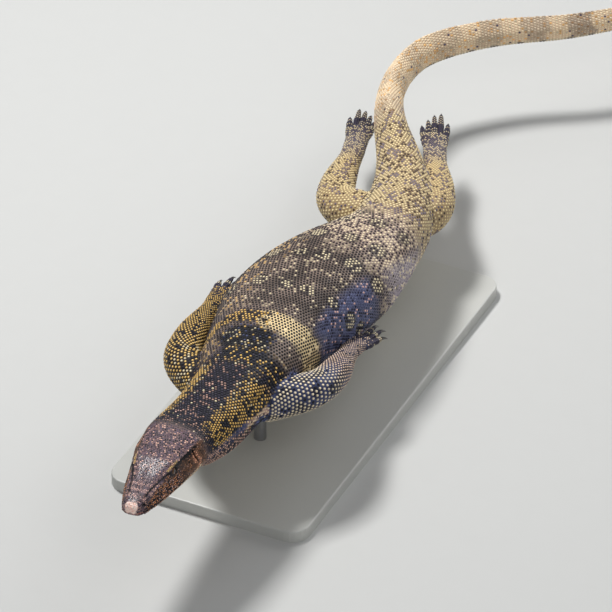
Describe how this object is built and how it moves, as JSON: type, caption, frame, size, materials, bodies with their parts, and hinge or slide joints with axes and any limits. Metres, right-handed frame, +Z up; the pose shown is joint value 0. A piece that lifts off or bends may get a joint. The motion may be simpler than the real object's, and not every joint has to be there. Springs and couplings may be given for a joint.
{
  "type": "water monitor lizard display model",
  "caption": "Life-size still model of a water monitor lizard in its swimming pose, limbs laid back and tail curving away, held over a flat plate by two rods.",
  "frame": {"origin": "centre of the underside of the stand's plate", "axes": "+Z up, -Y towards the animal's head, +X towards the animal's left side"},
  "size_m": [0.2955, 1.3789, 0.1527],
  "materials": {
    "skin": "scaly skin with a wet sheen, dark with pale yellow spots and bands",
    "eye": "glossy dark brown",
    "stand": "satin light grey paint",
    "rod": "brushed"
  },
  "bodies": {
    "root": {"head": "skin", "neck": "skin", "torso": "skin", "pelvis": "skin", "tail_1": "skin", "tail_2": "skin", "tail_3": "skin", "tail_4": "skin", "tail_5": "skin", "foreleg_left_upper": "skin", "foreleg_left_forearm": "skin", "foreleg_left_hand": "skin", "foreleg_right_upper": "skin", "foreleg_right_forearm": "skin", "foreleg_right_hand": "skin", "hindleg_left_upper": "skin", "hindleg_left_shank": "skin", "hindleg_left_foot": "skin", "hindleg_right_upper": "skin", "hindleg_right_shank": "skin", "hindleg_right_foot": "skin", "eye_left": "eye", "eye_right": "eye", "stand_base": "stand", "stand_rod_front": "rod", "stand_rod_rear": "rod"}
  },
  "joints": []
}
